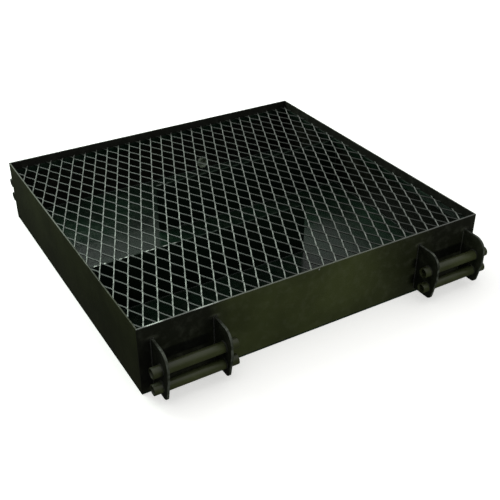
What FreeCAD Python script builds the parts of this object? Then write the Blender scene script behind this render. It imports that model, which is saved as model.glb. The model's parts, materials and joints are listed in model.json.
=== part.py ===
import FreeCAD, Part
import math
import os

os.makedirs("parts", exist_ok=True)

# A welded steel spill pallet: an open sump tray, a lift-out deck of expanded metal, and four lug
# brackets with coupling tubes. Origin: middle of the tray's underside. +Z up, -Y front, mm.

# Tray
tray_width = 1219.0        # along X, outside the side walls
tray_depth = 1168.0        # along Y, outside the front and back walls
tray_height = 228.0        # underside of the floor to the rim
wall_plate = 4.8           # thickness of the four walls
floor_plate = 4.8          # thickness of the floor

# Deck of raised expanded metal
deck_recess = 23.5         # rim down to the top of the deck
deck_rise = 8.0            # overall thickness of the raised mesh
deck_gap = 2.0             # play between the deck and each wall
short_way = 45.95          # diamond pitch along X
long_way = 105.8           # diamond pitch along Y
strand = 4.4               # width of a strand seen from above
bond = 6.0                 # length along Y where two strands are joined
lattice_x = -4.0           # one bond lies here, so the sheared edges aren't symmetrical
lattice_y = 24.0

# Bars and plates that carry the deck
ledge_thick = 6.0          # flat bar on edge, welded along the inside of each wall
ledge_height = 25.0
support_thick = 6.0        # upright plates, each welded to one side wall only
support_length = 797.0     # the open end lets liquid pass to the next bay

# Lug brackets, two on the front wall and two on the back wall
lug_plate = 8.0            # thickness of one lug
lug_reach = 97.0           # how far a lug stands out from the wall
lug_foot = 18.0            # underside of the tray up to the lug
lug_height = 166.0
lug_top_radius = 44.0
lug_toe_cut = 17.0         # the lower outer corner is drawn in by this much
lug_toe_radius = 20.0
lug_outer_edge = 42.5      # side of the tray in to the middle of the outer lug
lug_spacing = 194.0        # between the middles of the two lugs of a bracket

# Coupling tubes through the lugs
tube_radius = 16.7         # 1 in pipe
tube_wall = 3.4
tube_offset = 58.0         # wall to the tube's axis
upper_tube_rise = 98.0     # lug's foot up to the axis
lower_tube_rise = 39.0
tube_length = 264.0
tube_end_inset = {"left": 9.0, "right": 0.0}   # side of the tray in to the tube's outer end
tube_play = 0.25           # radial play of a tube in its lug holes, filled by the weld

# Drain low in the back wall
drain_x = 190.0
drain_rise = 33.0          # top of the floor up to the drain's axis
coupling_radius = 24.0
coupling_bore = 17.0       # radius
coupling_inside = 12.0     # stands into the sump
coupling_outside = 22.0    # stands out of the back wall
coupling_play = 0.25
plug_play = 0.05           # radial, for the thread
plug_length = 20.0
plug_head = 10.0
plug_across_flats = 36.0

# Worked out from the values above
half_width = tray_width / 2
half_depth = tray_depth / 2
inner_half_width = half_width - wall_plate
inner_half_depth = half_depth - wall_plate
deck_top = tray_height - deck_recess
deck_underside = deck_top - deck_rise
support_y = inner_half_depth / 3
outer_lug_x = half_width - lug_outer_edge
inner_lug_x = outer_lug_x - lug_spacing
drain_z = floor_plate + drain_rise


def box(x_range, y_range, z_range):
    size = [high - low for low, high in (x_range, y_range, z_range)]
    corner = FreeCAD.Vector(x_range[0], y_range[0], z_range[0])
    return Part.makeBox(size[0], size[1], size[2], corner)


def mirrored(shape, flip_x, flip_y):
    if flip_x:
        shape = shape.mirror(FreeCAD.Vector(0, 0, 0), FreeCAD.Vector(1, 0, 0))
    if flip_y:
        shape = shape.mirror(FreeCAD.Vector(0, 0, 0), FreeCAD.Vector(0, 1, 0))
    return shape


def save(node, shape):
    shape.exportStep("parts/" + node + ".step")


def floor_sheet():
    return box((-half_width, half_width), (-half_depth, half_depth), (0, floor_plate))


def side_wall():
    # the right one; it stands on the floor between the front and back walls
    y_range = (-inner_half_depth, inner_half_depth)
    return box((inner_half_width, half_width), y_range, (floor_plate, tray_height))


def front_wall():
    return box((-half_width, half_width), (-half_depth, -inner_half_depth), (floor_plate, tray_height))


def back_wall():
    wall = mirrored(front_wall(), False, True)
    hole = y_cylinder(coupling_radius + coupling_play, inner_half_depth - 1, half_depth + 1)
    return wall.cut(hole)


def side_ledge():
    # the right one; it ends against the front and back ledges
    face = inner_half_width - ledge_thick
    end = inner_half_depth - ledge_thick
    return box((face, inner_half_width), (-end, end), (deck_underside - ledge_height, deck_underside))


def front_ledge():
    face = ledge_thick - inner_half_depth
    levels = (deck_underside - ledge_height, deck_underside)
    return box((-inner_half_width, inner_half_width), (-inner_half_depth, face), levels)


def front_support():
    # from the left wall; its top corner is notched round the ledge
    end = support_length - inner_half_width
    y_range = (-support_y - support_thick / 2, -support_y + support_thick / 2)
    sheet = box((-inner_half_width, end), y_range, (floor_plate, deck_underside))
    return sheet.cut(mirrored(side_ledge(), True, False))


def y_cylinder(radius, y_start, y_end):
    base = FreeCAD.Vector(drain_x, y_start, drain_z)
    return Part.makeCylinder(radius, y_end - y_start, base, FreeCAD.Vector(0, 1, 0))


def drain_coupling():
    y_start = inner_half_depth - coupling_inside
    y_end = half_depth + coupling_outside
    body = y_cylinder(coupling_radius, y_start, y_end)
    return body.cut(y_cylinder(coupling_bore, y_start - 1, y_end + 1))


def drain_plug():
    # threaded plug with a hexagon head, screwed in from outside up to its head
    seat = half_depth + coupling_outside
    shank = y_cylinder(coupling_bore - plug_play, seat - plug_length, seat)
    corner_radius = plug_across_flats / 2 / math.cos(math.pi / 6)
    corners = []
    for step in range(7):
        turn = step * math.pi / 3
        x = drain_x + corner_radius * math.cos(turn)
        corners.append(FreeCAD.Vector(x, seat, drain_z + corner_radius * math.sin(turn)))
    head = Part.Face(Part.makePolygon(corners)).extrude(FreeCAD.Vector(0, plug_head, 0))
    return shank.fuse(head)


def tube_axes():
    # (out from the wall, height) of the upper and the lower tube
    rises = {"upper": upper_tube_rise, "lower": lower_tube_rise}
    return {level: (tube_offset, lug_foot + rise) for level, rise in rises.items()}


def x_cylinder(radius, x_start, x_end, out, height):
    base = FreeCAD.Vector(x_start, -half_depth - out, height)
    return Part.makeCylinder(radius, x_end - x_start, base, FreeCAD.Vector(1, 0, 0))


def lug_outline(x):
    # (out, height) corners of the plate, at the given x
    top = lug_foot + lug_height
    shoulder = lug_foot + lug_height / 2
    toe = lug_reach - lug_toe_cut
    corners = [(0, lug_foot), (0, top), (lug_reach, top), (lug_reach, shoulder), (toe, lug_foot)]
    points = [FreeCAD.Vector(x, -half_depth - out, height) for out, height in corners]
    return Part.makePolygon(points + points[:1])


def near_point(edge, out, height):
    # true for an edge along X that passes the given corner of the outline
    middle = edge.CenterOfMass
    return abs(middle.y + half_depth + out) < 0.01 and abs(middle.z - height) < 0.01


def lug(middle_x):
    # one plate of the front right bracket, with a hole for each tube
    thickness = FreeCAD.Vector(lug_plate, 0, 0)
    plate = Part.Face(lug_outline(middle_x - lug_plate / 2)).extrude(thickness)
    top = lug_foot + lug_height
    shoulder_edges = [e for e in plate.Edges if near_point(e, lug_reach, top)]
    plate = plate.makeFillet(lug_top_radius, shoulder_edges)
    toe_edges = [e for e in plate.Edges if near_point(e, lug_reach - lug_toe_cut, lug_foot)]
    plate = plate.makeFillet(lug_toe_radius, toe_edges)
    reach = lug_plate / 2 + 1
    for out, height in tube_axes().values():
        hole = x_cylinder(tube_radius + tube_play, middle_x - reach, middle_x + reach, out, height)
        plate = plate.cut(hole)
    return plate


def coupling_tube(out, height, inset):
    # an open pipe through both lugs, its outer end a little inside the side of the tray or flush
    x_end = half_width - inset
    x_start = x_end - tube_length
    pipe = x_cylinder(tube_radius, x_start, x_end, out, height)
    return pipe.cut(x_cylinder(tube_radius - tube_wall, x_start - 1, x_end + 1, out, height))


def save_brackets():
    for end, flip_y in (("front", False), ("back", True)):
        for side, flip_x in (("left", True), ("right", False)):
            name = end + "_" + side
            save(name + "_inner_lug", mirrored(lug(inner_lug_x), flip_x, flip_y))
            save(name + "_outer_lug", mirrored(lug(outer_lug_x), flip_x, flip_y))
            for level, (out, height) in tube_axes().items():
                tube = coupling_tube(out, height, tube_end_inset[side])
                save(name + "_" + level + "_tube", mirrored(tube, flip_x, flip_y))


def opening_outline(x, y):
    # the six-sided opening between two strands: parallel sides at the bonds, pointed ends
    lean = math.atan2(short_way / 2, long_way / 2 - bond)
    side = (short_way - strand) / 2
    flat = bond / 2 - strand / 2 * math.tan(lean / 2)
    tip = (long_way - bond) / 2 - strand / 2 / math.sin(lean)
    corners = [(side, -flat), (side, flat), (0, tip), (-side, flat), (-side, -flat), (0, -tip)]
    points = [FreeCAD.Vector(x + dx, y + dy, deck_underside) for dx, dy in corners]
    return Part.Face(Part.makePolygon(points + points[:1]))


def lattice_steps(offset, half_length, pitch):
    # half-pitch steps from the offset that reach just past both edges
    first = math.floor((-half_length - offset) / (pitch / 2)) - 1
    last = math.ceil((half_length - offset) / (pitch / 2)) + 1
    return range(first, last + 1)


def deck():
    half_x = inner_half_width - deck_gap
    half_y = inner_half_depth - deck_gap
    corners = [(-half_x, -half_y), (half_x, -half_y), (half_x, half_y), (-half_x, half_y)]
    points = [FreeCAD.Vector(x, y, deck_underside) for x, y in corners]
    sheet = Part.Face(Part.makePolygon(points + points[:1]))
    openings = []
    for column in lattice_steps(lattice_x, half_x, short_way):
        for row in lattice_steps(lattice_y, half_y, long_way):
            if (column + row) % 2 == 1:
                x = lattice_x + column * short_way / 2
                openings.append(opening_outline(x, lattice_y + row * long_way / 2))
    return sheet.cut(Part.makeCompound(openings)).Faces[0].extrude(FreeCAD.Vector(0, 0, deck_rise))


save("floor_plate", floor_sheet())
save("front_wall", front_wall())
save("back_wall", back_wall())
save("right_wall", side_wall())
save("left_wall", mirrored(side_wall(), True, False))
save("right_ledge", side_ledge())
save("left_ledge", mirrored(side_ledge(), True, False))
save("front_ledge", front_ledge())
save("back_ledge", mirrored(front_ledge(), False, True))
save("front_support_plate", front_support())
save("back_support_plate", mirrored(front_support(), True, True))
save("drain_coupling", drain_coupling())
save("drain_plug", drain_plug())
save("mesh_deck", deck())
save_brackets()
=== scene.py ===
import json
import math

import bmesh
import bpy
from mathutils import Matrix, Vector

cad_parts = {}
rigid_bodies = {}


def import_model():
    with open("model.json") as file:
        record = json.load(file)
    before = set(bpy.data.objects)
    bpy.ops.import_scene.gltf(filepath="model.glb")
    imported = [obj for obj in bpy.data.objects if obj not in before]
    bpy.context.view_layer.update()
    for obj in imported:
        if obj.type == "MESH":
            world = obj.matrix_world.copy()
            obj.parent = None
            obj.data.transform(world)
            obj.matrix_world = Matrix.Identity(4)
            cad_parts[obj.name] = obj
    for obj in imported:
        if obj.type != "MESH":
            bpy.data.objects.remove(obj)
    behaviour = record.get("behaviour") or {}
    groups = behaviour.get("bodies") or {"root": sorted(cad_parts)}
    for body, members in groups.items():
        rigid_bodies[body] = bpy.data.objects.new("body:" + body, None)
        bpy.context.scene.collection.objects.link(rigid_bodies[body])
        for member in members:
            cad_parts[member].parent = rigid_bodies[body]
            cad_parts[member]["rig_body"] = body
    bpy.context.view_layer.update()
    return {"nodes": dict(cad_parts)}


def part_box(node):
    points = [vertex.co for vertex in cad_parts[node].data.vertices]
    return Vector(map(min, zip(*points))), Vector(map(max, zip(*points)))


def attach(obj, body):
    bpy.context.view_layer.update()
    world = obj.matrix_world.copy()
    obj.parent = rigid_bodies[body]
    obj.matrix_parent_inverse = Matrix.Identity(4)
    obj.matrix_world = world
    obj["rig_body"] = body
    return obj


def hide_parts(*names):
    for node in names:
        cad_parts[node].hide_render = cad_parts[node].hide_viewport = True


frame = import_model()
print("stage: frame loaded,", len(frame["nodes"]), "nodes")


def linearColour(hexText):
    # sRGB hex to a linear colour
    channels = []
    for start in (1, 3, 5):
        value = int(hexText[start:start + 2], 16) / 255
        channels.append(value / 12.92 if value <= 0.04045 else ((value + 0.055) / 1.055) ** 2.4)
    return (*channels, 1.0)


def addNode(tree, kind, inputs=None, **settings):
    # adds a node, sets its properties, then fills or links its inputs by index or name
    node = tree.nodes.new(kind)
    for name, value in settings.items():
        setattr(node, name, value)
    for key, value in (inputs or {}).items():
        if isinstance(value, bpy.types.Node):
            value = value.outputs[0]
        if isinstance(value, bpy.types.NodeSocket):
            tree.links.new(value, node.inputs[key])
        else:
            node.inputs[key].default_value = value
    return node


def newObject(name, mesh):
    piece = bpy.data.objects.new(name, mesh)
    bpy.context.scene.collection.objects.link(piece)
    return piece


def useMaterial(piece, material):
    piece.data.materials.clear()
    piece.data.materials.append(material)


def shadeByAngle(mesh, degrees):
    for polygon in mesh.polygons:
        polygon.use_smooth = True
    mesh.set_sharp_from_angle(angle=math.radians(degrees))


# places read from the frame, metres
frontLow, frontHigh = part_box("front_wall")
backLow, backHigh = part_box("back_wall")
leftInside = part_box("left_wall")[1].x
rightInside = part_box("right_wall")[0].x
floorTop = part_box("floor_plate")[1].z
rimTop = frontHigh.z
deckLow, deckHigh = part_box("mesh_deck")
brackets = [end + "_" + side for end in ("front", "back") for side in ("left", "right")]
lugNodes = [bracket + "_" + row + "_lug" for bracket in brackets for row in ("inner", "outer")]
tubeNodes = [bracket + "_" + level + "_tube" for bracket in brackets for level in ("upper", "lower")]
nearFace = 0.001             # a point this close to a wall's face counts as on it


def wallFace(low):
    # outer face of the wall that a bracket's piece stands on, from its lowest corner
    return frontLow.y if low.y < 0 else backHigh.y


def startMaterial(name):
    material = bpy.data.materials.new(name)
    material.use_nodes = True
    material.node_tree.nodes.clear()
    place = addNode(material.node_tree, "ShaderNodeTexCoord").outputs["Object"]
    return material, material.node_tree, place


paintValues = {
    "dark": "#292e18",
    "light": "#353b20",
    "dust": "#6a6f5e",
    "dustAmount": 0.08,
    "dustScale": 34.0,       # clumps of dust to a metre, so 30 mm each
    "steel": "#c9cdc6",
    "steelRoughness": 0.32,
    "patchSize": 0.20,       # tone changes left by spraying, metres
    "swellScale": 9.0,       # waves of rolled plate to a metre, so 110 mm each
    "swellDepth": 0.004,
    "grainSize": 0.003,      # orange peel, drawn coarser than the real 1 mm so that it shows
    "grainDepth": 0.0006,
    "bump": 0.25,
    "specular": 0.35,
    "roughness": (0.40, 0.55),
}


def finishPaint(tree, place, values, bareAndHighlightMask=None, paintedShade=None, marks=None):
    # enamel sprayed on steel: uneven tone, a film of dust, orange peel; bare metal where the bare mask
    # is 1 (on the mesh its share by facing is a painted highlight), a darker painted shade where the
    # shade mask is 1, pale heat marks where marks is 1.
    # A colour Mix has its two colours at inputs 6 and 7 and its result at output 2
    patches = addNode(tree, "ShaderNodeTexNoise",
                      {"Vector": place, "Scale": 1 / values["patchSize"], "Detail": 3.0})
    tone = addNode(tree, "ShaderNodeMapRange", {"Value": patches, "From Min": 0.36, "From Max": 0.64})
    enamel = addNode(tree, "ShaderNodeMix",
                     {0: tone, 6: linearColour(values["dark"]), 7: linearColour(values["light"])},
                     data_type="RGBA").outputs[2]
    # painted shade: the darker colour mixed in where the shade mask is 1
    if paintedShade is not None:
        enamel = addNode(tree, "ShaderNodeMix",
                         {0: paintedShade, 6: enamel, 7: linearColour(values["paintedShade"])},
                         data_type="RGBA").outputs[2]
    settled = addNode(tree, "ShaderNodeTexNoise",
                      {"Vector": place, "Scale": values["dustScale"], "Detail": 5.0, "Roughness": 0.6})
    dusty = addNode(tree, "ShaderNodeMapRange", {"Value": settled, "From Min": 0.50, "From Max": 0.75,
                                                 "To Max": values["dustAmount"]})
    if marks is not None:
        dusty = addNode(tree, "ShaderNodeMath", {0: dusty, 1: marks}, operation="MAXIMUM")
    colour = addNode(tree, "ShaderNodeMix", {0: dusty, 6: enamel, 7: linearColour(values["dust"])},
                     data_type="RGBA").outputs[2]
    low, high = values["roughness"]
    roughness = addNode(tree, "ShaderNodeMapRange", {"Value": settled, "From Min": 0.3, "From Max": 0.7,
                                                     "To Min": low, "To Max": high}).outputs[0]
    grain = addNode(tree, "ShaderNodeTexNoise",
                    {"Vector": place, "Scale": 1 / values["grainSize"], "Detail": 2.0})
    swell = addNode(tree, "ShaderNodeTexNoise",
                    {"Vector": place, "Scale": values["swellScale"], "Detail": 1.0})
    coarse = addNode(tree, "ShaderNodeBump",
                     {"Height": swell, "Strength": 0.30, "Distance": values["swellDepth"]})
    bump = addNode(tree, "ShaderNodeBump", {"Height": grain, "Strength": values["bump"],
                                            "Distance": values["grainDepth"], "Normal": coarse})
    shader = {"Normal": bump, "Specular IOR Level": values["specular"]}
    if bareAndHighlightMask is None:
        shader.update({"Base Color": colour, "Roughness": roughness})
    else:
        metal = linearColour(values["steel"])
        shader["Base Color"] = addNode(tree, "ShaderNodeMix", {0: bareAndHighlightMask, 6: colour, 7: metal},
                                       data_type="RGBA").outputs[2]
        shader["Roughness"] = addNode(tree, "ShaderNodeMix", {0: bareAndHighlightMask, 2: roughness,
                                                              3: values["steelRoughness"]}).outputs[0]
        shader["Metallic"] = bareAndHighlightMask
    shader = addNode(tree, "ShaderNodeBsdfPrincipled", shader)
    addNode(tree, "ShaderNodeOutputMaterial", {"Surface": shader})


wallWearAndShadeValues = {
    "depth": 0.0016,         # worn band down from the rim
    "rubScale": 55.0,        # scuffs to a metre, so 18 mm each
    "lightRub": 0.16,        # steel showing in scuffs anywhere on the rim
    "heavyRub": 0.65,        # and in the bright spots
    "spots": ((-0.556, 0.030), (-0.398, 0.042)),   # middle and half length along the front rim
    "thinRim": 0.20,         # enamel worn thin along the front rim and the back half of the left one
    "thinLeftFrom": (-0.12, 0.02),
    "chip": (-0.020, 0.0065, 0.0030),    # one chip under the front rim: x, depth below it, radius
    "chipStrength": 0.5,
    "paintedShade": "#12140c",                # painted shade: a darker colour over the wall ends round the brackets and over the sump side
    "paintedShadeLeft": (-0.325, -0.395),     # it starts and is full here, along X
    "paintedShadeRight": (0.10, 0.44),
    "shadeEdgeScale": 14.0,      # waves of its edge to a metre, so 70 mm each
    "shadeEdgeShift": 0.03,      # how far the edge wanders to either side
    "markSize": (0.017, 0.007),          # heat mark above a lug, half width and half height
    "markStrength": 0.34,
}


def rimWear(tree, place, axes, rub, values):
    # where steel shows: scuffs in a thin band along the rim, and one chip under it
    band = addNode(tree, "ShaderNodeMapRange", {"Value": axes["Z"], "From Min": rimTop - values["depth"],
                                                "From Max": rimTop - values["depth"] / 3})
    onFront = addNode(tree, "ShaderNodeMath", {0: axes["Y"], 1: frontHigh.y + nearFace},
                      operation="LESS_THAN")
    spots = None
    for middle, reach in values["spots"]:
        away = addNode(tree, "ShaderNodeMath", {0: axes["X"], 1: middle}, operation="SUBTRACT")
        away = addNode(tree, "ShaderNodeMath", {0: away}, operation="ABSOLUTE")
        spot = addNode(tree, "ShaderNodeMapRange",
                       {"Value": away, "From Min": reach * 1.25, "From Max": reach * 0.6})
        if spots is None:
            spots = spot
        else:
            spots = addNode(tree, "ShaderNodeMath", {0: spots, 1: spot}, operation="MAXIMUM")
    wear = addNode(tree, "ShaderNodeMath", {0: spots, 1: onFront}, operation="MULTIPLY")
    light = addNode(tree, "ShaderNodeMapRange", {"Value": rub, "From Min": 0.50, "From Max": 0.70,
                                                 "To Max": values["lightRub"]})
    heavy = addNode(tree, "ShaderNodeMapRange", {"Value": rub, "From Min": 0.28, "From Max": 0.42,
                                                 "To Max": values["heavyRub"]})
    heavy = addNode(tree, "ShaderNodeMath", {0: heavy, 1: wear}, operation="MULTIPLY")
    rubbed = addNode(tree, "ShaderNodeMath", {0: light, 1: heavy}, operation="MAXIMUM")

    onLeft = addNode(tree, "ShaderNodeMath", {0: axes["X"], 1: leftInside + nearFace},
                     operation="LESS_THAN")
    start, full = values["thinLeftFrom"]
    backHalf = addNode(tree, "ShaderNodeMapRange",
                       {"Value": axes["Y"], "From Min": start, "From Max": full})
    onLeft = addNode(tree, "ShaderNodeMath", {0: onLeft, 1: backHalf}, operation="MULTIPLY")
    thin = addNode(tree, "ShaderNodeMath", {0: onLeft, 1: onFront}, operation="MAXIMUM")
    thin = addNode(tree, "ShaderNodeMath", {0: thin, 1: values["thinRim"]}, operation="MULTIPLY")
    rubbed = addNode(tree, "ShaderNodeMath", {0: rubbed, 1: thin}, operation="MAXIMUM")
    rubbed = addNode(tree, "ShaderNodeMath", {0: rubbed, 1: band}, operation="MULTIPLY")

    chipX, chipDrop, chipRadius = values["chip"]
    chipPlace = (chipX, frontLow.y, rimTop - chipDrop)
    chip = addNode(tree, "ShaderNodeVectorMath", {0: place, 1: chipPlace}, operation="DISTANCE")
    chip = addNode(tree, "ShaderNodeMapRange",
                   {"Value": chip.outputs["Value"], "From Min": chipRadius,
                    "From Max": chipRadius * 0.6, "To Max": values["chipStrength"]})
    return addNode(tree, "ShaderNodeMath", {0: rubbed, 1: chip}, operation="MAXIMUM").outputs[0]


def shadeAreas(tree, place, axes, values):
    # painted shade: where the walls are painted darker as if in shade, past an uneven edge towards the
    # ends of the front and back, and all over the sump side
    edge = addNode(tree, "ShaderNodeTexNoise",
                   {"Vector": place, "Scale": values["shadeEdgeScale"], "Detail": 3.0})
    shift = addNode(tree, "ShaderNodeMapRange",
                    {"Value": edge, "To Min": -values["shadeEdgeShift"], "To Max": values["shadeEdgeShift"]})
    x = addNode(tree, "ShaderNodeMath", {0: axes["X"], 1: shift}, operation="ADD")
    leftShade, rightShade = [
        addNode(tree, "ShaderNodeMapRange", {"Value": x, "From Min": start, "From Max": full})
        for start, full in (values["paintedShadeLeft"], values["paintedShadeRight"])]
    shadeAmount = addNode(tree, "ShaderNodeMath", {0: leftShade, 1: rightShade}, operation="MAXIMUM")
    awayX = addNode(tree, "ShaderNodeMath", {0: axes["X"]}, operation="ABSOLUTE")
    awayY = addNode(tree, "ShaderNodeMath", {0: axes["Y"]}, operation="ABSOLUTE")
    onEnds = addNode(tree, "ShaderNodeMath", {0: awayY, 1: -frontHigh.y}, operation="GREATER_THAN")
    shadeAmount = addNode(tree, "ShaderNodeMath", {0: shadeAmount, 1: onEnds}, operation="MULTIPLY")
    insideX = addNode(tree, "ShaderNodeMath", {0: awayX, 1: rightInside + nearFace},
                      operation="LESS_THAN")
    insideY = addNode(tree, "ShaderNodeMath", {0: awayY, 1: backLow.y + nearFace},
                      operation="LESS_THAN")
    inside = addNode(tree, "ShaderNodeMath", {0: insideX, 1: insideY}, operation="MULTIPLY")
    return addNode(tree, "ShaderNodeMath", {0: shadeAmount, 1: inside}, operation="MAXIMUM").outputs[0]


def heatMarks(tree, place, rub, values):
    # weld heat left a pale mark on the wall above each lug
    markWidth, markHeight = values["markSize"]
    squeeze = (1 / markWidth, 100.0, 1 / markHeight)     # along Y it reaches through the wall
    nearest = None
    for node in lugNodes:
        low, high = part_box(node)
        middle = ((low.x + high.x) / 2, wallFace(low), high.z)
        away = addNode(tree, "ShaderNodeVectorMath", {0: place, 1: middle}, operation="SUBTRACT")
        away = addNode(tree, "ShaderNodeVectorMath", {0: away, 1: squeeze}, operation="MULTIPLY")
        away = addNode(tree, "ShaderNodeVectorMath", {0: away}, operation="LENGTH").outputs["Value"]
        if nearest is None:
            nearest = away
        else:
            nearest = addNode(tree, "ShaderNodeMath", {0: nearest, 1: away}, operation="MINIMUM")
    marks = addNode(tree, "ShaderNodeMapRange", {"Value": nearest, "From Min": 1.5, "From Max": 0.3,
                                                 "To Max": values["markStrength"]})
    return addNode(tree, "ShaderNodeMath", {0: marks, 1: rub}, operation="MULTIPLY").outputs[0]


def makeWallPaint(values):
    # solvent enamel sprayed on rolled plate: a soft olive sheen that breaks up in orange peel,
    # chafed to bright steel along parts of the rim, with painted shade over the wall ends round the
    # welded brackets and the sump side
    material, tree, place = startMaterial("blackGreenEnamelWallPaintedShade")
    axes = addNode(tree, "ShaderNodeSeparateXYZ", {0: place}).outputs
    rub = addNode(tree, "ShaderNodeTexNoise",
                  {"Vector": place, "Scale": values["rubScale"], "Detail": 4.0})
    bare = rimWear(tree, place, axes, rub, values)
    # painted shade: the wall ends round the brackets and the sump side drawn darker
    shadeAmount = shadeAreas(tree, place, axes, values)
    marks = heatMarks(tree, place, rub, values)
    finishPaint(tree, place, {**paintValues, "paintedShade": values["paintedShade"]}, bare, shadeAmount, marks)
    return material


def makePlatePaint(name, **changes):
    # the same enamel without rim wear: one even sprayed coat
    material, tree, place = startMaterial(name)
    finishPaint(tree, place, {**paintValues, **changes})
    return material


edgeWearAndLightValues = {
    "axis": "Z",             # worn faces look along this axis
    "facing": (0.0, 0.8),    # how squarely they do, where wear starts and is full
    "wear": (0.3, 0.8),      # least and most steel showing through there
    "rubScale": 60.0,        # scuffs to a metre, so 17 mm each
    "rubFrom": 0.42,
    "fadeX": None,           # wear fades in between these two places along X
    "leanShare": None,       # share of the wear left on faces that lean to the front: painted shade on those, painted highlight on the others
}


def makeEdgePaint(name, **changes):
    # enamel rubbed thin on its cut edges, so these show a thin line of steel
    values = {**paintValues, **edgeWearAndLightValues, **changes}
    material, tree, place = startMaterial(name)
    normal = addNode(tree, "ShaderNodeTexCoord").outputs["Normal"]
    normal = addNode(tree, "ShaderNodeSeparateXYZ", {0: normal}).outputs
    facing = normal[values["axis"]]
    if values["axis"] == "X":
        facing = addNode(tree, "ShaderNodeMath", {0: facing}, operation="ABSOLUTE")
    start, full = values["facing"]
    edge = addNode(tree, "ShaderNodeMapRange", {"Value": facing, "From Min": start, "From Max": full})
    rub = addNode(tree, "ShaderNodeTexNoise",
                  {"Vector": place, "Scale": values["rubScale"], "Detail": 4.0})
    low, high = values["wear"]
    rub = addNode(tree, "ShaderNodeMapRange", {"Value": rub, "From Min": values["rubFrom"],
                                               "From Max": 0.62, "To Min": low, "To Max": high})
    wearAndLightMask = addNode(tree, "ShaderNodeMath", {0: edge, 1: rub}, operation="MULTIPLY")
    if values["fadeX"] is not None:
        x = addNode(tree, "ShaderNodeSeparateXYZ", {0: place}).outputs["X"]
        start, full = values["fadeX"]
        fade = addNode(tree, "ShaderNodeMapRange", {"Value": x, "From Min": start, "From Max": full})
        wearAndLightMask = addNode(tree, "ShaderNodeMath", {0: wearAndLightMask, 1: fade}, operation="MULTIPLY")
    # painted highlight and shade by facing: strands leaning to the back keep their grey, those leaning
    # to the front are drawn near black
    if values["leanShare"] is not None:
        lean = addNode(tree, "ShaderNodeMapRange", {"Value": normal["Y"], "From Min": -0.05,
                                                    "From Max": 0.05, "To Min": values["leanShare"]})
        wearAndLightMask = addNode(tree, "ShaderNodeMath", {0: wearAndLightMask, 1: lean}, operation="MULTIPLY")
    finishPaint(tree, place, values, wearAndLightMask.outputs[0])
    return material


def makeZincPlug():
    # steel plug plated with zinc: dull grey metal, slightly mottled in clouds of 6 mm
    material, tree, place = startMaterial("zincPlatedSteel")
    cloud = addNode(tree, "ShaderNodeTexNoise", {"Vector": place, "Scale": 160.0, "Detail": 4.0})
    colour = addNode(tree, "ShaderNodeMix",
                     {0: cloud, 6: linearColour("#8f9188"), 7: linearColour("#c6c8c0")},
                     data_type="RGBA").outputs[2]
    roughness = addNode(tree, "ShaderNodeMapRange", {"Value": cloud, "To Min": 0.3, "To Max": 0.55})
    shader = addNode(tree, "ShaderNodeBsdfPrincipled",
                     {"Base Color": colour, "Metallic": 1.0, "Roughness": roughness})
    addNode(tree, "ShaderNodeOutputMaterial", {"Surface": shader})
    return material


wallPaintWithShade = makeWallPaint(wallWearAndShadeValues)
# enamel sprayed thick into the sump and never walked on: glossy, so it mirrors light in soft patches
sumpPaint = makePlatePaint("blackGreenEnamelSump", dark="#0e1912", light="#182b1f",
                           roughness=(0.16, 0.28), bump=0.12, specular=0.5)
# matt enamel on sheared plate: almost black, and only the top edge towards the left shines, in
# patches where the mesh rubs it
supportPaint = makeEdgePaint("blackGreenEnamelSupport", facing=(0.5, 0.95), wear=(0.0, 0.75),
                             fadeX=(-0.12, -0.42), rubScale=42.0, rubFrom=0.52, dark="#0a170e",
                             light="#102015", dustAmount=0.02, roughness=(0.5, 0.6), specular=0.12)
# enamel on smooth drawn pipe: a clear line of light along each tube
tubePaint = makePlatePaint("blackGreenEnamelTube", dark="#262a18", light="#353a22",
                           roughness=(0.28, 0.42), specular=0.45)
# enamel that ran into the ripples of the weld: small glints on a dark bead
beadPaint = makePlatePaint("blackGreenEnamelWeld", dark="#11130b", light="#1d2015",
                           roughness=(0.3, 0.45), specular=0.5, patchSize=0.05)
# a thin wash of enamel on a turned coupling: paler than the walls, partly as a painted highlight of the
# light on its end, with bright upper edges
drainPaintAndHighlight = makeEdgePaint("paleEnamelAndPaintedHighlightCoupling", dark="#8ea087", light="#b4c4ac")
# thin enamel on slit and drawn strands, rubbed by drums to grey along their tops; the grey kept on
# strands that lean to the back and dropped on the others is a painted highlight and painted shade
meshPaintWithHighlight = makeEdgePaint("greyGreenEnamelMeshPaintedLight", facing=(0.75, 0.96), wear=(0.19, 0.41),
                          leanShare=0.05, dark="#11150f", light="#1d221b", dust="#7f887c",
                          dustAmount=0.12, roughness=(0.30, 0.45), patchSize=0.3)
# enamel on flame-cut plate: dark faces, with a thin greyer line round the cut edge
lugPaint = makeEdgePaint("blackGreenEnamelLug", axis="X", facing=(0.85, 0.3), wear=(0.03, 0.28),
                         dark="#14170e", light="#1f2317", steel="#8d9488")
zinc = makeZincPlug()
print("stage: materials made")


easeValues = {               # how far each kind of edge is rounded, metres
    "wall": 0.0010,
    "lug": 0.0009,
    "tube": 0.0007,
    "other": 0.0008,
    "segments": 2,
    "sharpAngle": 40.0,      # edges sharper than this are rounded, degrees
    "smoothAngle": 32,
}


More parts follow.
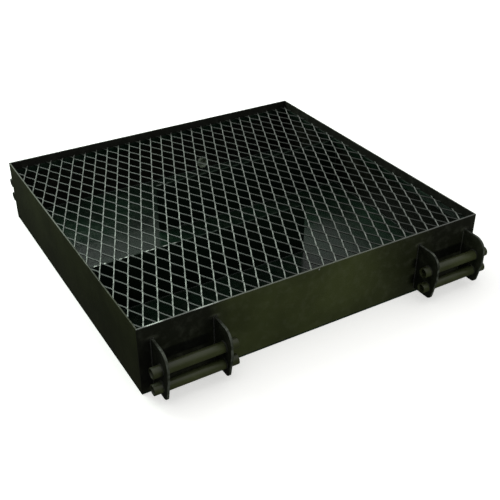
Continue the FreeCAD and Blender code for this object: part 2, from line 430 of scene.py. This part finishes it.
def easedCopy(node, material, width=easeValues["other"]):
    # the CAD shape with its edges slightly rounded, as sheared and painted steel is
    body = frame["nodes"][node]["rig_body"]
    mesh = bmesh.new()
    mesh.from_mesh(frame["nodes"][node].data)
    bmesh.ops.remove_doubles(mesh, verts=mesh.verts, dist=1e-5)
    bmesh.ops.dissolve_limit(mesh, angle_limit=math.radians(0.5), verts=mesh.verts, edges=mesh.edges)
    limit = math.radians(easeValues["sharpAngle"])
    sharp = [edge for edge in mesh.edges
             if len(edge.link_faces) == 2 and edge.calc_face_angle() > limit]
    bmesh.ops.bevel(mesh, geom=sharp, offset=width, segments=easeValues["segments"], profile=0.5,
                    affect="EDGES", clamp_overlap=True)
    bmesh.ops.triangulate(mesh, faces=[face for face in mesh.faces if len(face.verts) > 4])
    data = bpy.data.meshes.new(node + "_eased")
    mesh.to_mesh(data)
    mesh.free()
    shadeByAngle(data, easeValues["smoothAngle"])
    piece = newObject(node + "_eased", data)
    useMaterial(piece, material)
    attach(piece, body)
    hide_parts(node)
    return piece


for node in ("front_wall", "back_wall", "left_wall", "right_wall"):
    easedCopy(node, wallPaintWithShade, easeValues["wall"])
for node in lugNodes:
    easedCopy(node, lugPaint, easeValues["lug"])
for node in tubeNodes:
    easedCopy(node, tubePaint, easeValues["tube"])
easedCopy("drain_coupling", drainPaintAndHighlight)
easedCopy("drain_plug", zinc)
for node in ("floor_plate", "front_ledge", "back_ledge", "left_ledge", "right_ledge"):
    useMaterial(frame["nodes"][node], sumpPaint)
for node in ("front_support_plate", "back_support_plate"):
    easedCopy(node, supportPaint)
print("stage: plates, lugs and tubes made")


def plainMesh(carrier, name):
    # the modifier's result as an ordinary mesh; the carrier is then dropped
    shown = carrier.evaluated_get(bpy.context.evaluated_depsgraph_get())
    mesh = bpy.data.meshes.new_from_object(shown)
    mesh.name = name
    carrier.modifiers.clear()
    bpy.data.objects.remove(carrier)
    return mesh


deckValues = {
    "shortWay": 0.04595,      # diamond pitch along X
    "longWay": 0.1058,        # diamond pitch along Y
    "bond": 0.006,            # length of a joint between two strands
    "thickness": 0.0050,      # gauge of the sheet
    "tilt": -74.0,            # how far the strands lean, degrees from flat
    "chamfer": 0.0006,
    "stepsPerDiamond": 16,
    "bondX": -0.004,          # one joint lies here
    "bondY": 0.024,
    "smoothAngle": 35,
}


def makeDeckTree():
    # one strand is a bar whose middle line zigzags between two columns of joints; neighbouring
    # strands share the joints
    tree = bpy.data.node_groups.new("expandedMetal", "GeometryNodeTree")
    sockets = {}
    for name in ("Short Way", "Long Way", "Bond", "Strand Width", "Thickness", "Tilt", "Chamfer",
                 "Middle Height", "Half Length", "First Y", "Step", "First X", "Bond X", "Bond Y"):
        sockets[name] = tree.interface.new_socket(name=name, in_out="INPUT",
                                                  socket_type="NodeSocketFloat")
    for name in ("Rows", "Segments"):
        sockets[name] = tree.interface.new_socket(name=name, in_out="INPUT",
                                                  socket_type="NodeSocketInt")
    sockets["Metal"] = tree.interface.new_socket(name="Metal", in_out="INPUT",
                                                 socket_type="NodeSocketMaterial")
    tree.interface.new_socket(name="Geometry", in_out="OUTPUT", socket_type="NodeSocketGeometry")
    given = addNode(tree, "NodeGroupInput").outputs

    # a bar for each row, whose points remember their place on the bar and their row's number
    bar = addNode(tree, "GeometryNodeMeshCylinder",
                  {"Vertices": 8, "Side Segments": given["Segments"], "Radius": 1.0, "Depth": 1.0},
                  fill_type="NGON")
    local = addNode(tree, "GeometryNodeCaptureAttribute", {"Geometry": bar.outputs["Mesh"]},
                    domain="POINT")
    local.capture_items.new("VECTOR", "local")
    tree.links.new(addNode(tree, "GeometryNodeInputPosition").outputs[0], local.inputs[1])
    line = addNode(tree, "GeometryNodeMeshLine", {"Count": given["Rows"]}, mode="OFFSET")
    row = addNode(tree, "GeometryNodeCaptureAttribute", {"Geometry": line.outputs["Mesh"]},
                  domain="POINT")
    row.capture_items.new("INT", "row")
    tree.links.new(addNode(tree, "GeometryNodeInputIndex").outputs[0], row.inputs[1])
    copies = addNode(tree, "GeometryNodeInstanceOnPoints",
                     {"Points": row.outputs[0], "Instance": local.outputs[0]})
    bars = addNode(tree, "GeometryNodeRealizeInstances", {"Geometry": copies})

    # the eight corners become a rectangle, strand width by thickness, with chamfers
    corner = addNode(tree, "ShaderNodeVectorRotate", {"Vector": local.outputs[1], "Angle": math.pi / 8},
                     rotation_type="Z_AXIS")
    size = addNode(tree, "ShaderNodeVectorMath", {0: corner}, operation="ABSOLUTE")
    size = addNode(tree, "ShaderNodeSeparateXYZ", {0: size}).outputs
    onSide = addNode(tree, "ShaderNodeMath", {0: size["X"], 1: size["Y"]}, operation="GREATER_THAN")
    onFace = addNode(tree, "ShaderNodeMath", {0: 1.0, 1: onSide}, operation="SUBTRACT")
    cut = addNode(tree, "ShaderNodeCombineXYZ", {0: onFace, 1: onSide})
    cut = addNode(tree, "ShaderNodeVectorMath", {0: cut, "Scale": given["Chamfer"]}, operation="SCALE")
    section = addNode(tree, "ShaderNodeCombineXYZ", {0: given["Strand Width"], 1: given["Thickness"]})
    section = addNode(tree, "ShaderNodeVectorMath", {0: section, "Scale": 0.5}, operation="SCALE")
    section = addNode(tree, "ShaderNodeVectorMath", {0: section, 1: cut}, operation="SUBTRACT")
    quarter = addNode(tree, "ShaderNodeVectorMath", {0: corner}, operation="SIGN")
    section = addNode(tree, "ShaderNodeVectorMath", {0: section, 1: quarter}, operation="MULTIPLY")

    # how far along Y the point lies, trimmed at the deck's ends
    along = addNode(tree, "ShaderNodeSeparateXYZ", {0: local.outputs[1]}).outputs["Z"]
    along = addNode(tree, "ShaderNodeMath", {0: along, 1: 0.5}, operation="ADD")
    number = addNode(tree, "ShaderNodeMath", {0: along, 1: given["Segments"]}, operation="MULTIPLY")
    number = addNode(tree, "ShaderNodeMath", {0: number}, operation="ROUND")
    y = addNode(tree, "ShaderNodeMath", {0: number, 1: given["Step"], 2: given["First Y"]},
                operation="MULTIPLY_ADD")
    frontEnd = addNode(tree, "ShaderNodeMath", {0: given["Half Length"], 1: -1.0},
                       operation="MULTIPLY")
    y = addNode(tree, "ShaderNodeClamp", {"Value": y, "Min": frontEnd, "Max": given["Half Length"]})

    # share goes from 0 to 1 and back as the strand crosses from one column of joints to the next
    halfShort = addNode(tree, "ShaderNodeMath", {0: given["Short Way"], 1: 0.5}, operation="MULTIPLY")
    halfLong = addNode(tree, "ShaderNodeMath", {0: given["Long Way"], 1: 0.5}, operation="MULTIPLY")
    columnX = addNode(tree, "ShaderNodeMath", {0: row.outputs[1], 1: halfShort, 2: given["First X"]},
                      operation="MULTIPLY_ADD")
    column = addNode(tree, "ShaderNodeMath", {0: columnX, 1: given["Bond X"]}, operation="SUBTRACT")
    column = addNode(tree, "ShaderNodeMath", {0: column, 1: halfShort}, operation="DIVIDE")
    column = addNode(tree, "ShaderNodeMath", {0: column}, operation="ROUND")
    phase = addNode(tree, "ShaderNodeMath", {0: y, 1: given["Bond Y"]}, operation="SUBTRACT")
    phase = addNode(tree, "ShaderNodeMath", {0: phase, 1: halfLong}, operation="DIVIDE")
    phase = addNode(tree, "ShaderNodeMath", {0: phase, 1: column}, operation="SUBTRACT")
    phase = addNode(tree, "ShaderNodeMath", {0: phase, 1: 1.0}, operation="PINGPONG")
    level = addNode(tree, "ShaderNodeMath", {0: given["Bond"], 1: given["Long Way"]},
                    operation="DIVIDE")
    rest = addNode(tree, "ShaderNodeMath", {0: 1.0, 1: level}, operation="SUBTRACT")
    share = addNode(tree, "ShaderNodeMapRange", {"Value": phase, "From Min": level, "From Max": rest})

    # at a joint two strands lie edge to edge, and the whole strand leans by the tilt
    toEdge = addNode(tree, "ShaderNodeMath", {0: 0.5, 1: share}, operation="SUBTRACT")
    toEdge = addNode(tree, "ShaderNodeMath", {0: toEdge, 1: given["Strand Width"]},
                     operation="MULTIPLY")
    toEdge = addNode(tree, "ShaderNodeCombineXYZ", {0: toEdge})
    section = addNode(tree, "ShaderNodeVectorMath", {0: section, 1: toEdge}, operation="ADD")
    leaning = addNode(tree, "ShaderNodeVectorRotate", {"Vector": section, "Angle": given["Tilt"]},
                      rotation_type="Z_AXIS")
    leaning = addNode(tree, "ShaderNodeSeparateXYZ", {0: leaning}).outputs
    x = addNode(tree, "ShaderNodeMath", {0: share, 1: halfShort, 2: columnX}, operation="MULTIPLY_ADD")
    x = addNode(tree, "ShaderNodeMath", {0: x, 1: leaning["X"]}, operation="ADD")
    z = addNode(tree, "ShaderNodeMath", {0: leaning["Y"], 1: given["Middle Height"]}, operation="ADD")
    point = addNode(tree, "ShaderNodeCombineXYZ", {0: x, 1: y, 2: z})
    shaped = addNode(tree, "GeometryNodeSetPosition", {"Geometry": bars, "Position": point})
    painted = addNode(tree, "GeometryNodeSetMaterial", {"Geometry": shaped, "Material": given["Metal"]})
    addNode(tree, "NodeGroupOutput", {"Geometry": painted})
    return tree, sockets


def trimAt(mesh, point, outward):
    # shears the mesh off square at a plane and closes the cut ends
    work = bmesh.new()
    work.from_mesh(mesh)
    parts = work.verts[:] + work.edges[:] + work.faces[:]
    cut = bmesh.ops.bisect_plane(work, geom=parts, plane_co=point, plane_no=outward, clear_outer=True)
    rims = [item for item in cut["geom_cut"] if isinstance(item, bmesh.types.BMEdge)]
    bmesh.ops.holes_fill(work, edges=rims, sides=0)
    work.to_mesh(mesh)
    work.free()


def makeDeck(values, material):
    # counts the strands and steps that reach just past the deck's edges, then trims it there
    halfX = deckHigh.x
    halfY = deckHigh.y
    columnGap = values["shortWay"] / 2
    firstColumn = math.floor((-halfX - values["bondX"]) / columnGap) - 1
    lastColumn = math.ceil((halfX - values["bondX"]) / columnGap)
    step = values["longWay"] / values["stepsPerDiamond"]
    firstStep = math.floor((-halfY - values["bondY"]) / step)
    segments = math.ceil((halfY - values["bondY"]) / step) - firstStep
    tilt = math.radians(values["tilt"])
    rise = deckHigh.z - deckLow.z
    strandWidth = (rise - values["thickness"] * math.cos(tilt)) / (2 * abs(math.sin(tilt)))
    tree, sockets = makeDeckTree()
    carrier = newObject("deckCarrier", bpy.data.meshes.new("deckCarrier"))
    modifier = carrier.modifiers.new("expandedMetal", "NODES")
    modifier.node_group = tree
    settings = {
        "Short Way": values["shortWay"],
        "Long Way": values["longWay"],
        "Bond": values["bond"],
        "Strand Width": strandWidth,
        "Thickness": values["thickness"],
        "Tilt": tilt,
        "Chamfer": values["chamfer"],
        "Middle Height": (deckLow.z + deckHigh.z) / 2,
        "Half Length": halfY,
        "Step": step,
        "First Y": values["bondY"] + firstStep * step,
        "First X": values["bondX"] + firstColumn * columnGap,
        "Bond X": values["bondX"],
        "Bond Y": values["bondY"],
        "Rows": lastColumn - firstColumn,
        "Segments": segments,
        "Metal": material,
    }
    for name, value in settings.items():
        modifier[sockets[name].identifier] = value
    mesh = plainMesh(carrier, "expandedDeck")
    for side in (-1, 1):
        trimAt(mesh, Vector((side * halfX, 0, 0)), Vector((side, 0, 0)))
    shadeByAngle(mesh, values["smoothAngle"])
    deck = newObject("expandedDeck", mesh)
    useMaterial(deck, material)
    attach(deck, "deck")
    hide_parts("mesh_deck")
    return deck


deck = makeDeck(deckValues, meshPaintWithHighlight)
print("stage: deck made,", len(deck.data.polygons), "faces")


weldValues = {      # a bead and its unevenness stay thinner than the plate, so none shows behind it
    "bracket": {"pitch": 0.0032, "radius": 0.0040, "unevenness": 0.14},
    "ring": {"pitch": 0.0032, "radius": 0.0028, "unevenness": 0.12},
    "sump": {"pitch": 0.0062, "radius": 0.0040, "unevenness": 0.15},
    "seed": 7,
    "ringPoints": 28,
    "overlap": 0.7,           # half length of a ripple, as a share of the pitch
    "smoothAngle": 70,
}


def makeWeldTree():
    # stacked ripples along a path: squashed balls, a little uneven in size
    tree = bpy.data.node_groups.new("weldRipples", "GeometryNodeTree")
    tree.interface.new_socket(name="Path", in_out="INPUT", socket_type="NodeSocketGeometry")
    sockets = {}
    for name in ("Pitch", "Radius", "Unevenness", "Overlap"):
        sockets[name] = tree.interface.new_socket(name=name, in_out="INPUT",
                                                  socket_type="NodeSocketFloat")
    sockets["Seed"] = tree.interface.new_socket(name="Seed", in_out="INPUT",
                                                socket_type="NodeSocketInt")
    sockets["Metal"] = tree.interface.new_socket(name="Metal", in_out="INPUT",
                                                 socket_type="NodeSocketMaterial")
    tree.interface.new_socket(name="Geometry", in_out="OUTPUT", socket_type="NodeSocketGeometry")
    given = addNode(tree, "NodeGroupInput").outputs
    run = addNode(tree, "GeometryNodeMeshToCurve", {"Mesh": given["Path"]})
    run = addNode(tree, "GeometryNodeResampleCurve", {"Curve": run, "Length": given["Pitch"]},
                  mode="LENGTH")
    ball = addNode(tree, "GeometryNodeMeshUVSphere", {"Segments": 6, "Rings": 5, "Radius": 1.0})
    tangent = addNode(tree, "GeometryNodeInputTangent")
    turn = addNode(tree, "FunctionNodeAlignRotationToVector", {"Vector": tangent}, axis="Z")
    smallest = addNode(tree, "ShaderNodeMath", {0: 1.0, 1: given["Unevenness"]}, operation="SUBTRACT")
    largest = addNode(tree, "ShaderNodeMath", {0: 1.0, 1: given["Unevenness"]}, operation="ADD")
    chance = addNode(tree, "FunctionNodeRandomValue", {2: smallest, 3: largest, "Seed": given["Seed"]},
                     data_type="FLOAT")
    radius = addNode(tree, "ShaderNodeMath", {0: chance.outputs[1], 1: given["Radius"]},
                     operation="MULTIPLY")
    length = addNode(tree, "ShaderNodeMath", {0: given["Pitch"], 1: given["Overlap"]},
                     operation="MULTIPLY")
    size = addNode(tree, "ShaderNodeCombineXYZ", {0: radius, 1: radius, 2: length})
    ripples = addNode(tree, "GeometryNodeInstanceOnPoints",
                      {"Points": run, "Instance": ball, "Rotation": turn, "Scale": size})
    solid = addNode(tree, "GeometryNodeRealizeInstances", {"Geometry": ripples})
    painted = addNode(tree, "GeometryNodeSetMaterial", {"Geometry": solid, "Material": given["Metal"]})
    addNode(tree, "NodeGroupOutput", {"Geometry": painted})
    return tree, sockets


weldTree, weldSockets = makeWeldTree()


def makeWelds(name, runs, values, material):
    # a run is a list of corner points, and its ripples sit half sunk in the corner of two plates
    points = []
    edges = []
    for run in runs:
        first = len(points)
        points += run
        edges += [(first + step, first + step + 1) for step in range(len(run) - 1)]
    path = bpy.data.meshes.new(name + "Path")
    path.from_pydata(points, edges, [])
    carrier = newObject(name + "Path", path)
    modifier = carrier.modifiers.new("weldRipples", "NODES")
    modifier.node_group = weldTree
    settings = {
        "Pitch": values["pitch"],
        "Radius": values["radius"],
        "Unevenness": values["unevenness"],
        "Overlap": weldValues["overlap"],
        "Seed": weldValues["seed"],
        "Metal": material,
    }
    for key, value in settings.items():
        modifier[weldSockets[key].identifier] = value
    mesh = plainMesh(carrier, name)
    shadeByAngle(mesh, weldValues["smoothAngle"])
    piece = newObject(name, mesh)
    useMaterial(piece, material)
    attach(piece, "tray")
    print("stage:", name, "made,", len(mesh.polygons), "faces")


def circleRun(centre, radius, axis):
    # a closed ring about an axis along X or Y
    run = []
    for step in range(weldValues["ringPoints"] + 1):
        turn = 2 * math.pi * step / weldValues["ringPoints"]
        across, up = radius * math.cos(turn), radius * math.sin(turn)
        offset = Vector((0, across, up)) if axis == "X" else Vector((across, 0, up))
        run.append(centre + offset)
    return run


def lugRun(node):
    # up one side of the lug, over its top and down the other side, along the wall
    low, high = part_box(node)
    corners = ((low.x, low.z), (low.x, high.z), (high.x, high.z), (high.x, low.z))
    return [Vector((x, wallFace(low), z)) for x, z in corners]


def tubeRings():
    # one ring on each side of each lug that a tube passes through
    rings = []
    for tube in tubeNodes:
        tubeLow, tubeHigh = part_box(tube)
        radius = (tubeHigh.z - tubeLow.z) / 2
        centre = (tubeLow + tubeHigh) / 2
        bracket = tube.rsplit("_", 2)[0]
        for row in ("inner", "outer"):
            lugLow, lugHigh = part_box(bracket + "_" + row + "_lug")
            for x in (lugLow.x, lugHigh.x):
                rings.append(circleRun(Vector((x, centre.y, centre.z)), radius, "X"))
    return rings


def sumpRuns():
    # round the floor, along both sides of each support plate and up its welded end, and round the
    # drain coupling
    west, east, south, north = leftInside, rightInside, frontHigh.y, backLow.y
    corners = ((west, south), (east, south), (east, north), (west, north), (west, south))
    runs = [[Vector((x, y, floorTop)) for x, y in corners]]
    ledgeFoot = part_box("left_ledge")[0].z
    for node in ("front_support_plate", "back_support_plate"):
        low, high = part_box(node)
        welded, free = (low.x, high.x) if node.startswith("front") else (high.x, low.x)
        outline = ((welded, low.y), (free, low.y), (free, high.y), (welded, high.y))
        runs.append([Vector((x, y, floorTop)) for x, y in outline])
        for y in (low.y, high.y):
            runs.append([Vector((welded, y, floorTop)), Vector((welded, y, ledgeFoot))])
    couplingLow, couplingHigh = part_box("drain_coupling")
    middle = (couplingLow + couplingHigh) / 2
    radius = (couplingHigh.z - couplingLow.z) / 2
    for y in (backLow.y, backHigh.y):
        runs.append(circleRun(Vector((middle.x, y, middle.z)), radius, "Y"))
    return runs


bracketRuns = [lugRun(node) for node in lugNodes]
makeWelds("bracketWelds", bracketRuns, weldValues["bracket"], beadPaint)
makeWelds("tubeWelds", tubeRings(), weldValues["ring"], beadPaint)
makeWelds("sumpWelds", sumpRuns(), weldValues["sump"], sumpPaint)


studioValues = {
    "floorSize": 60.0,
    "floorColour": "#f6f6f4",
    "floorGlow": 0.55,          # keeps the paper pale under the low light
    "skyTop": 0.85,             # light from straight above, falling to groundLight at the horizon
    "groundLight": 0.03,
    "boxPower": 55.0,           # softbox behind and above
    "boxSize": (2.6, 1.8),
    "boxPlace": (-0.9, 2.0, 2.4),
    "boxTint": (0.84, 1.0, 0.88),
    "stripPower": 15.0,         # low strip that lights the front wall
    "stripSize": (0.8, 0.16),
    "stripPlace": (0.15, -2.3, 0.10),
    "aimHeight": 0.1,           # both lamps point at this height on the tray
}


def makeFloor(values):
    mesh = bpy.data.meshes.new("studioFloor")
    half = values["floorSize"] / 2
    corners = [(-half, -half, 0), (half, -half, 0), (half, half, 0), (-half, half, 0)]
    mesh.from_pydata(corners, [], [(0, 1, 2, 3)])
    floor = newObject("studioFloor", mesh)
    # matte studio paper: pulp fibres give it no sheen at all, here drawn 2.5 mm coarse
    material, tree, place = startMaterial("matteStudioPaper")
    fibres = addNode(tree, "ShaderNodeTexNoise", {"Vector": place, "Scale": 400.0})
    bump = addNode(tree, "ShaderNodeBump", {"Height": fibres, "Strength": 0.05, "Distance": 0.001})
    paper = linearColour(values["floorColour"])
    shader = addNode(tree, "ShaderNodeBsdfPrincipled",
                     {"Base Color": paper, "Roughness": 0.9, "Specular IOR Level": 0.1,
                      "Normal": bump, "Emission Color": paper,
                      "Emission Strength": values["floorGlow"]})
    addNode(tree, "ShaderNodeOutputMaterial", {"Surface": shader})
    useMaterial(floor, material)
    floor.visible_glossy = False      # the dark enamel doesn't mirror the pale floor
    floor.visible_diffuse = False


def makeSky(values):
    # white backdrop to the eye, but as a light it falls off towards the horizon
    world = bpy.data.worlds.new("studio")
    bpy.context.scene.world = world
    world.use_nodes = True
    sky = world.node_tree
    height = addNode(sky, "ShaderNodeTexCoord").outputs["Generated"]
    height = addNode(sky, "ShaderNodeSeparateXYZ", {0: height}).outputs["Z"]
    strength = addNode(sky, "ShaderNodeMapRange",
                       {"Value": height, "From Min": 0.0, "From Max": 1.0,
                        "To Min": values["groundLight"], "To Max": values["skyTop"]})
    seen = addNode(sky, "ShaderNodeLightPath").outputs["Is Camera Ray"]
    strength = addNode(sky, "ShaderNodeMix", {0: seen, 2: strength, 3: 1.0})
    background = sky.nodes["Background"]
    background.inputs["Color"].default_value = (1.0, 1.0, 1.0, 1.0)
    sky.links.new(strength.outputs[0], background.inputs["Strength"])


def addLamp(name, power, size, place, target, tint=(1.0, 1.0, 1.0), mirrored=True):
    lamp = bpy.data.lights.new(name, "AREA")
    lamp.shape = "RECTANGLE"
    lamp.size, lamp.size_y = size
    lamp.energy = power
    lamp.color = tint
    panel = bpy.data.objects.new(name, lamp)
    panel.location = place
    panel.rotation_euler = (Vector(target) - panel.location).to_track_quat("-Z", "Y").to_euler()
    panel.visible_camera = False
    panel.visible_glossy = mirrored
    bpy.context.scene.collection.objects.link(panel)


def addLamps(values):
    addLamp("softbox", values["boxPower"], values["boxSize"], values["boxPlace"],
            (0, 0, values["aimHeight"]), values["boxTint"])
    addLamp("lowStrip", values["stripPower"], values["stripSize"], values["stripPlace"],
            (0, frontLow.y, values["aimHeight"]), mirrored=False)


cameraValues = {
    "place": (-1.1953, -2.1660, 1.5235),
    "lookDown": 32.20,          # degrees below level
    "turn": -30.61,             # degrees round from looking straight at the front
    "lens": 57.09,
}


def makeCamera(values):
    lens = bpy.data.cameras.new("camera")
    lens.lens = values["lens"]
    lens.sensor_width = 36.0
    camera = bpy.data.objects.new("camera", lens)
    camera.location = values["place"]
    camera.rotation_euler = (math.radians(90 - values["lookDown"]), 0, math.radians(values["turn"]))
    bpy.context.scene.collection.objects.link(camera)
    bpy.context.scene.camera = camera


makeFloor(studioValues)
makeSky(studioValues)
addLamps(studioValues)
makeCamera(cameraValues)
bpy.context.scene.view_settings.view_transform = "Standard"
print("stage: studio and camera set")
